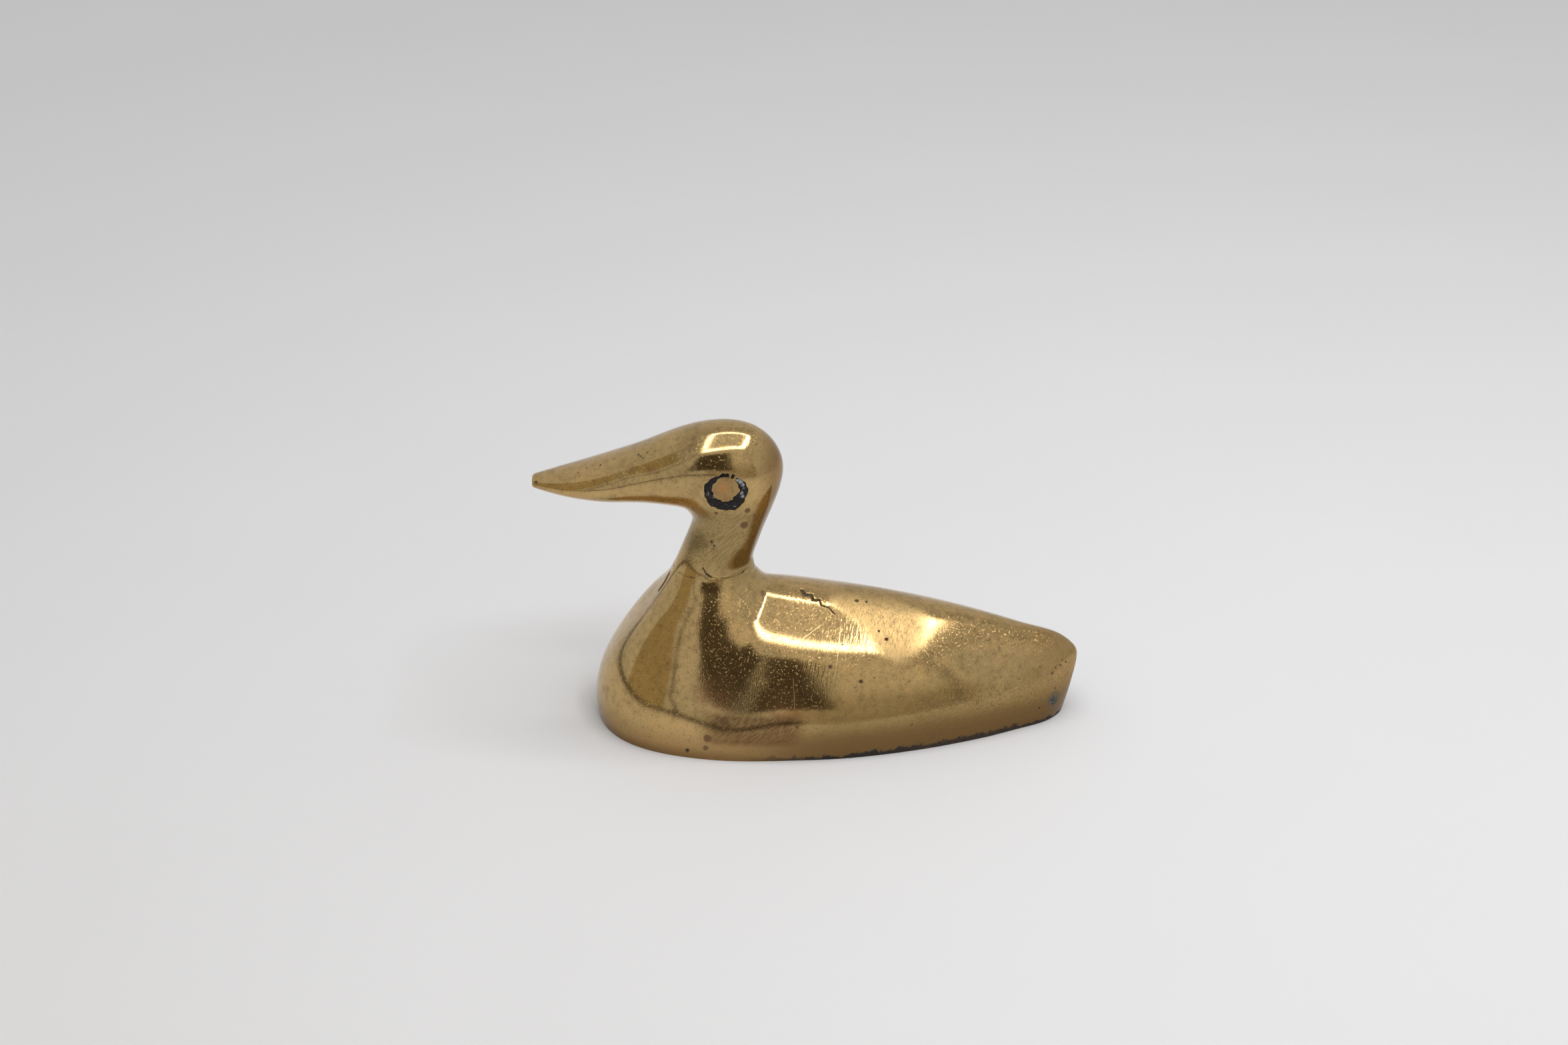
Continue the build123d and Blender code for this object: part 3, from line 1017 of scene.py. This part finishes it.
def enamel_finish(name):
    material, shader, place = new_finish(name)
    mottle = place.noise(2.2, 5.0, 0.65)
    scuffs = place.noise(0.75, 4.0, 0.7)
    worn = (scuffs * 0.7 + mottle * 0.3).between(0.6, 0.66)
    # Pale chips, by angle and reach from the middle of the eye, with their size and paleness, in
    # outlines bent by noise, which also moves them
    chip_shift = 0.5
    bent = place.vector("ADD", place.noise(1.6, 3.0, 0.6, 1))
    for degrees, reach, radius, pale in (
        (48, 3.1, 0.3, 1.0),
        (36, 3.35, 0.26, 0.9),
        (24, 3.4, 0.2, 1.0),
        (12, 3.3, 0.14, 0.7),
        (-8, 2.95, 0.26, 0.8),
        (-18, 3.2, 0.2, 0.9),
        (-62, 3.4, 0.14, 0.5),
        (189, 3.3, 0.3, 0.3),
    ):
        turn = math.radians(degrees)
        chip = on_left(eye_x + reach * math.cos(turn), eye_z + reach * math.sin(turn)) + chip_shift
        worn = worn.most(bent.near(tuple(chip), radius, 0.25) * mottle.between(0.3, 0.55) * pale)
    colour = mottle.between(0.35, 0.7).tint((0.006, 0.006, 0.008, 1.0), (0.03, 0.026, 0.026, 1.0))
    colour = (worn * 0.9).tint(colour, (0.46, 0.46, 0.47, 1.0))
    feed(shader, "Base Color", colour)
    feed(shader, "Roughness", 0.45 + 0.3 * mottle + 0.1 * worn)
    shader.inputs["Specular IOR Level"].default_value = 0.25
    feed(shader, "Normal", bumped(mottle * 0.12 + scuffs * 0.1, 0.7))
    return material


def solder_finish(name):
    material, shader, place = new_finish(name)
    mottle = place.noise(2.2, 5.0, 0.7)
    colour = mottle.between(0.38, 0.66).tint((0.05, 0.048, 0.042, 1.0), (0.22, 0.21, 0.18, 1.0))
    feed(shader, "Base Color", colour)
    feed(shader, "Roughness", 0.42 + 0.25 * mottle)
    feed(shader, "Metallic", mottle.between(0.3, 0.5))
    feed(shader, "Normal", bumped(mottle * 0.08, 0.7))
    return material


def dowel_finish(name):
    material, shader, place = new_finish(name)
    drawn = place.vector("MULTIPLY", (6.0, 6.0, 0.2)).noise(1.0, 3.0, 0.6)
    feed(shader, "Base Color", drawn.tint((0.72, 0.52, 0.22, 1.0), (0.82, 0.62, 0.28, 1.0)))
    feed(shader, "Roughness", 0.2 + 0.2 * drawn)
    shader.inputs["Metallic"].default_value = 1.0
    return material


cast_brass = brass_finish("worn_cast_brass")
enamel = enamel_finish("worn_black_enamel")
for piece, node, slot, finish in (
    (body_skin, "body_casting", "cast_brass", cast_brass),
    (head_skin, "head_casting", "cast_brass", cast_brass),
    (braze_skin, "neck_braze", "braze", braze_finish("dressed_braze")),
    (left_enamel, "left_eye_enamel", "enamel", enamel),
    (right_enamel, "right_eye_enamel", "enamel", enamel),
    (plug_fill, "tail_plug", "solder", solder_finish("dull_solder")),
):
    piece.data.materials.append(finish)
    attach(piece, "root")
    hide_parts(node)
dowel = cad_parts["neck_dowel"]
dowel.data.materials.clear()
dowel.data.materials.append(dowel_finish("drawn_brass_rod"))

# Light tent, floor and camera


def glow(name, strength, colour=(1.0, 1.0, 1.0)):
    material = bpy.data.materials.new(name)
    material.use_nodes = True
    tree = material.node_tree
    tree.nodes.clear()
    out = tree.nodes.new("ShaderNodeOutputMaterial")
    light = tree.nodes.new("ShaderNodeEmission")
    light.inputs["Strength"].default_value = strength
    light.inputs["Color"].default_value = (*colour, 1.0)
    tree.links.new(light.outputs[0], out.inputs["Surface"])
    return material


def rising_glow(name, low, high, low_colour, high_colour):
    """A glow that goes from one colour to another between two heights in millimetres."""
    material = glow(name, 1.0)
    tree = material.node_tree
    light = tree.nodes["Emission"]
    start = Wire(tree, tree.nodes.new("ShaderNodeTexCoord").outputs["Object"])
    height = start.axis(2).between(low * MM, high * MM)
    feed(light, "Color", height.tint((*low_colour, 1.0), (*high_colour, 1.0)))
    return material


def card(name, corners, material):
    """A flat stage card from its corners in metres."""
    mesh = bpy.data.meshes.new(name)
    mesh.from_pydata([tuple(c) for c in corners], [], [tuple(range(len(corners)))])
    made = bpy.data.objects.new(name, mesh)
    made.data.materials.append(material)
    bpy.context.scene.collection.objects.link(made)


def upright(x0, y0, x1, y1, z0, z1):
    return [(x0, y0, z0), (x1, y1, z0), (x1, y1, z1), (x0, y0, z1)]


def level(x0, y0, x1, y1, z):
    return [(x0, y0, z), (x1, y0, z), (x1, y1, z), (x0, y1, z)]


floor_finish, floor_shader, floor_place = new_finish("pale_floor")
floor_grain = floor_place.noise(0.02, 3.0, 0.5)
feed(floor_shader, "Base Color", floor_grain.tint((0.81, 0.81, 0.825, 1.0), (0.83, 0.83, 0.845, 1.0)))
floor_shader.inputs["Roughness"].default_value = 0.75
floor_shader.inputs["Specular IOR Level"].default_value = 0.2
floor_half = 2.0
card("floor", level(-floor_half, -floor_half, floor_half, floor_half, 0.0), floor_finish)

# The tent's front has an opening for the camera, seams, and a dark line where it stands on the floor
tent_left, tent_right = -0.42, 0.56
tent_front, tent_back = -0.535, 0.6
tent_top = 0.75
left_wall_break = -0.06
front_wall_break = 0.0
opening_left, opening_right = -0.128, 0.134
opening_low, opening_high = 0.126, 0.64
skirt_end, skirt_height, left_skirt_height = 0.05, 0.028, 0.02
seam_width = 0.028
right_seam_x = 0.449
card_gap = 0.004
wall = glow("tent_wall", 0.62)
dim_wall = glow("tent_dim_wall", 0.42, (1.0, 0.86, 0.58))
front_wall = rising_glow("tent_front_wall", 120, 360, (0.46, 0.42, 0.35), (0.72, 0.70, 0.66))
back_wall = glow("tent_back_wall", 0.6)
for name, (x0, y0), (x1, y1), cloth in (
    ("tent_left_near", (tent_left, tent_front), (tent_left, left_wall_break), dim_wall),
    ("tent_left_far", (tent_left, left_wall_break), (tent_left, tent_back), wall),
    ("tent_right", (tent_right, tent_front), (tent_right, tent_back), wall),
    ("tent_back", (tent_left, tent_back), (tent_right, tent_back), back_wall),
    ("tent_front_left", (tent_left, tent_front), (front_wall_break, tent_front), wall),
    ("tent_front_right", (front_wall_break, tent_front), (tent_right, tent_front), front_wall),
):
    card(name, upright(x0, y0, x1, y1, 0.0, tent_top), cloth)
card("tent_roof", level(tent_left, tent_front, tent_right, tent_back, tent_top), glow("tent_roof", 0.5))
shade = glow("tent_shade", 0.085, (1.0, 0.85, 0.7))
inside = tent_front + card_gap
inside_left = tent_left + card_gap
opening = upright(opening_left, inside, opening_right, inside, opening_low, opening_high)
card("tent_opening", opening, shade)
card("tent_skirt", upright(tent_left, inside, skirt_end, inside, 0.0, skirt_height), shade)
left_skirt = upright(inside_left, tent_front, inside_left, tent_back, 0.0, left_skirt_height)
card("tent_left_skirt", left_skirt, shade)
seam = ((-0.268, 0.0), (-0.372, 0.11), (-0.378, 0.31), (-0.289, 0.56), (-0.2, tent_top))
for number, ((x0, z0), (x1, z1)) in enumerate(zip(seam, seam[1:])):
    near_edge = [(x0, inside, z0), (x0 + seam_width, inside, z0)]
    far_edge = [(x1 + seam_width, inside, z1), (x1, inside, z1)]
    card(f"tent_left_seam_{number}", near_edge + far_edge, shade)
right_seam = upright(right_seam_x, inside, right_seam_x + seam_width, inside, 0.0, tent_top)
card("tent_right_seam", right_seam, shade)

# A frame of lamps overhead with a dimmer middle: strength, then the corners of each card
lamp_height = 0.46
for name, strength, box in (
    ("lamp_front", 7.0, (-0.079, -0.266, 0.215, -0.214)),
    ("lamp_right", 15.5, (0.178, -0.214, 0.215, 0.094)),
    ("lamp_left", 9.0, (-0.079, -0.214, -0.059, 0.094)),
    ("lamp_back", 9.0, (-0.079, 0.094, 0.215, 0.116)),
    ("lamp_middle", 0.75, (-0.059, -0.214, 0.178, 0.094)),
):
    card(name, level(*box, lamp_height), glow(name, strength))

camera_data = bpy.data.cameras.new("camera")
camera = bpy.data.objects.new("camera", camera_data)
bpy.context.scene.collection.objects.link(camera)
bpy.context.scene.camera = camera
view_rise = math.radians(27.0)
view_distance = 0.55
target = Vector((-0.0048, 0.0, 0.0386))
back = Vector((0.0, -math.cos(view_rise), math.sin(view_rise)))
camera.location = target + back * view_distance
camera.rotation_mode = "QUATERNION"
camera.rotation_quaternion = (-back).to_track_quat("-Z", "Y")
camera_data.sensor_width = 36.0
camera_data.lens = 69.0
camera_data.clip_start = 0.01
camera_data.clip_end = 20.0

world = bpy.data.worlds.new("world")
bpy.context.scene.world = world
world.use_nodes = True
world.node_tree.nodes["Background"].inputs["Color"].default_value = (0.3, 0.3, 0.3, 1.0)
bpy.context.scene.view_settings.view_transform = "Standard"
